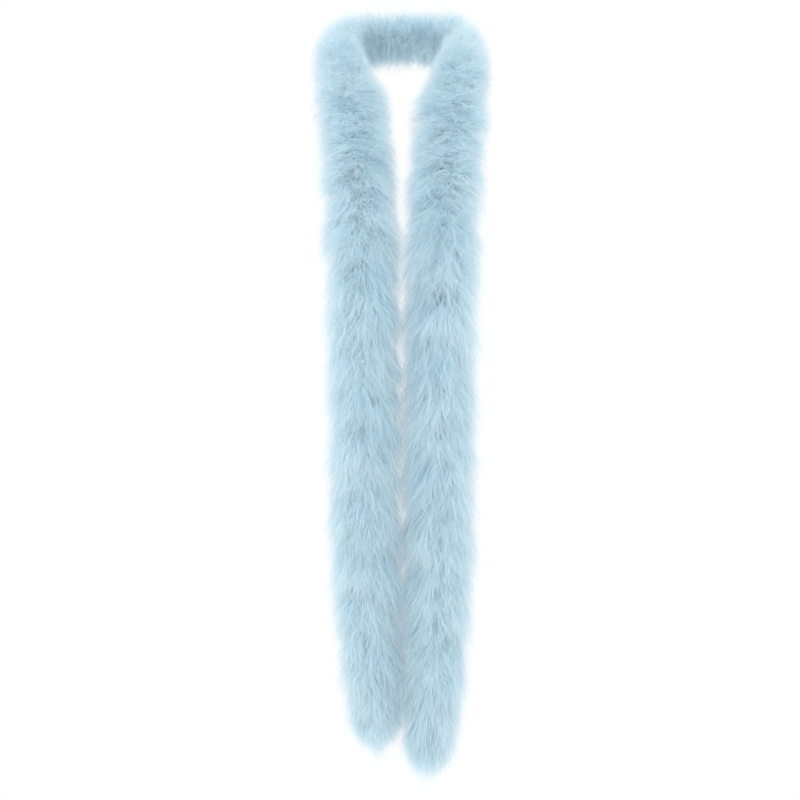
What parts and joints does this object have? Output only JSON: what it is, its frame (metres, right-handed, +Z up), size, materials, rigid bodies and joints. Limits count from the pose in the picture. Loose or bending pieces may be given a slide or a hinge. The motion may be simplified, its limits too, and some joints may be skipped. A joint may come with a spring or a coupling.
{
  "type": "feather boa",
  "caption": "Marabou feather boa hung round a neck: down plumes lashed along a cotton cord, with knotted ends and two bending tails.",
  "frame": {"origin": "centre of the neck opening, level with the wearer's neck where the collar rests", "axes": "+Z up along the neck, +X to the right as seen from the front, -Y forward, the side where the tails hang"},
  "size_m": [0.2124, 0.2734, 0.9236],
  "materials": {
    "down_plumes": "matte",
    "cotton_cord": "matte",
    "lashing_thread": "satin"
  },
  "bodies": {
    "collar": {"binding_collar": "lashing_thread", "cord_collar": "cotton_cord", "plumes_collar_01": "down_plumes", "plumes_collar_02": "down_plumes", "plumes_collar_03": "down_plumes", "plumes_collar_04": "down_plumes", "plumes_collar_05": "down_plumes", "plumes_collar_06": "down_plumes", "plumes_collar_07": "down_plumes", "plumes_collar_08": "down_plumes", "plumes_collar_09": "down_plumes", "plumes_collar_10": "down_plumes", "plumes_collar_11": "down_plumes", "plumes_collar_12": "down_plumes", "plumes_collar_13": "down_plumes", "plumes_collar_14": "down_plumes", "plumes_collar_15": "down_plumes", "plumes_collar_16": "down_plumes", "plumes_collar_17": "down_plumes"},
    "left_upper_tail": {"binding_left_upper": "lashing_thread", "cord_left_upper": "cotton_cord", "plumes_left_sway": "down_plumes", "plumes_left_upper_01": "down_plumes", "plumes_left_upper_02": "down_plumes", "plumes_left_upper_03": "down_plumes", "plumes_left_upper_04": "down_plumes", "plumes_left_upper_05": "down_plumes"},
    "left_lower_tail": {"binding_left_lower": "lashing_thread", "cord_left_lower": "cotton_cord", "knot_left": "cotton_cord", "plumes_left_fold": "down_plumes", "plumes_left_lower_01": "down_plumes", "plumes_left_lower_02": "down_plumes", "plumes_left_lower_03": "down_plumes", "plumes_left_lower_04": "down_plumes", "whipping_left": "lashing_thread"},
    "right_upper_tail": {"binding_right_upper": "lashing_thread", "cord_right_upper": "cotton_cord", "plumes_right_sway": "down_plumes", "plumes_right_upper_01": "down_plumes", "plumes_right_upper_02": "down_plumes", "plumes_right_upper_03": "down_plumes", "plumes_right_upper_04": "down_plumes", "plumes_right_upper_05": "down_plumes"},
    "right_lower_tail": {"binding_right_lower": "lashing_thread", "cord_right_lower": "cotton_cord", "knot_right": "cotton_cord", "plumes_right_fold": "down_plumes", "plumes_right_lower_01": "down_plumes", "plumes_right_lower_02": "down_plumes", "plumes_right_lower_03": "down_plumes", "plumes_right_lower_04": "down_plumes", "plumes_right_lower_05": "down_plumes", "whipping_right": "lashing_thread"}
  },
  "joints": [
    {"name": "left_tail_sway", "type": "hinge", "parent": "collar", "child": "left_upper_tail", "pos_m": [-0.04671, -0.12509, -0.30046], "axis": [0, 1, 0], "range_deg": [0, 35], "deforming": ["plumes_left_sway"]},
    {"name": "left_tail_fold", "type": "hinge", "parent": "left_upper_tail", "child": "left_lower_tail", "pos_m": [-0.04333, -0.1281, -0.58533], "axis": [-1, 0, 0], "range_deg": [0, 70], "deforming": ["plumes_left_fold"]},
    {"name": "right_tail_sway", "type": "hinge", "parent": "collar", "child": "right_upper_tail", "pos_m": [0.04672, -0.12508, -0.30037], "axis": [0, -1, 0], "range_deg": [0, 35], "deforming": ["plumes_right_sway"]},
    {"name": "right_tail_fold", "type": "hinge", "parent": "right_upper_tail", "child": "right_lower_tail", "pos_m": [0.04327, -0.1281, -0.58525], "axis": [-1, 0, 0], "range_deg": [0, 70], "deforming": ["plumes_right_fold"]}
  ]
}
